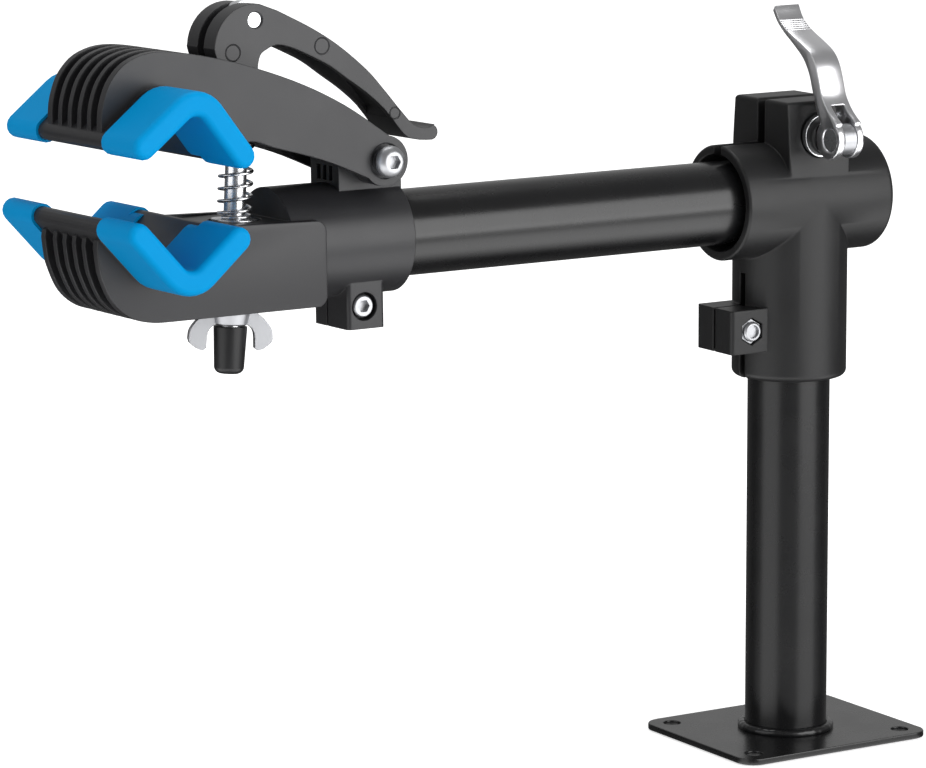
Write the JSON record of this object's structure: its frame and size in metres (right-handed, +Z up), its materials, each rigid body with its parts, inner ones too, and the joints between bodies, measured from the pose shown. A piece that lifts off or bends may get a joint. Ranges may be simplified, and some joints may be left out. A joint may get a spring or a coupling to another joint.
{
  "type": "bicycle repair clamp",
  "caption": "Bench-mounted bicycle repair clamp: base plate with post, sliding cross arm in a quick-release collar, and a turning clamp head with padded jaws and cam lever.",
  "frame": {"origin": "centre of the base plate's underside, on the post's axis", "axes": "+Z up the post, +X along the arm away from the clamp head, -Y towards the quick-release lever"},
  "size_m": [0.4256, 0.1219, 0.3592],
  "materials": {
    "black_coat": "satin powder coat",
    "black_nylon": "fine matte grain",
    "grey_nylon": "fine matte grain",
    "blue_rubber": "smooth soft rubber",
    "black_cap": "smooth",
    "zinc": "bright zinc plating",
    "chrome": "polished"
  },
  "bodies": {
    "base": {"base_plate": "black_coat", "post_tube": "black_coat", "post_weld": "black_coat"},
    "tee": {"collar": "black_nylon", "collar_bolt": "zinc", "collar_nut": "zinc", "release_bolt": "zinc", "release_nut": "zinc", "release_cup": "zinc", "release_saddle": "black_nylon"},
    "release": {"release_lever": "chrome", "release_barrel": "zinc"},
    "arm": {"arm_tube": "black_coat", "arm_plug": "black_nylon"},
    "head": {"head_body": "grey_nylon", "lower_pad_near": "blue_rubber", "lower_pad_far": "blue_rubber", "head_bolt": "zinc", "head_nut": "zinc", "deck_washer": "zinc", "nut_washer": "zinc", "clamp_spring": "zinc"},
    "nut": {"wing_nut": "zinc"},
    "rod": {"clamp_rod": "zinc", "rod_cap": "black_cap"},
    "lever": {"cam_lever": "grey_nylon", "cam_pin": "zinc"},
    "pivot": {"pivot_bolt": "zinc", "pivot_bush": "zinc", "pivot_nut": "zinc"},
    "jaw": {"upper_jaw": "grey_nylon", "upper_pad_near": "blue_rubber", "upper_pad_far": "blue_rubber"}
  },
  "joints": [
    {"name": "post_swivel", "type": "hinge", "parent": "base", "child": "tee", "pos_m": [0, 0, 0.2], "axis": [0, 0, 1], "continuous": true},
    {"name": "arm_slide", "type": "slide", "parent": "tee", "child": "arm", "axis": [1, 0, 0], "range_m": [-0.02, 0.14]},
    {"name": "head_turn", "type": "hinge", "parent": "arm", "child": "head", "pos_m": [-0.2465, 0, 0.2538], "axis": [1, 0, 0], "continuous": true},
    {"name": "nut_spin", "type": "hinge", "parent": "head", "child": "nut", "pos_m": [-0.29437, -0.00057, 0.22861], "axis": [0.0663, 0.0226, 0.9975], "range_deg": [0, 2290]},
    {"name": "clamp_adjust", "type": "slide", "parent": "head", "child": "rod", "axis": [0.0663, 0.0226, 0.9975], "range_m": [-0.0095, 0]},
    {"name": "jaw_adjust", "type": "hinge", "parent": "head", "child": "pivot", "pos_m": [-0.2305, 0.00079, 0.28879], "axis": [0, 0.9997, -0.0227], "range_deg": [-11.5, 0], "deforming": ["clamp_spring"]},
    {"name": "lever_turn", "type": "hinge", "parent": "rod", "child": "lever", "pos_m": [-0.2862, 0.00222, 0.35158], "axis": [0, -0.9997, 0.0227], "range_deg": [0, 90]},
    {"name": "jaw_release", "type": "hinge", "parent": "pivot", "child": "jaw", "pos_m": [-0.2305, 0.00079, 0.28879], "axis": [0, 0.9997, -0.0227], "range_deg": [0, 11.1]},
    {"name": "release_turn", "type": "hinge", "parent": "tee", "child": "release", "pos_m": [0, -0.0395, 0.2844], "axis": [1, 0, 0], "range_deg": [0, 115]}
  ],
  "couplings": [
    {"joint": "nut_spin", "follows": "clamp_adjust", "rad_per_m": -4188.8},
    {"joint": "jaw_adjust", "follows": "clamp_adjust", "rad_per_m": 20},
    {"joint": "jaw_release", "follows": "lever_turn", "ratio": 0.12222}
  ]
}
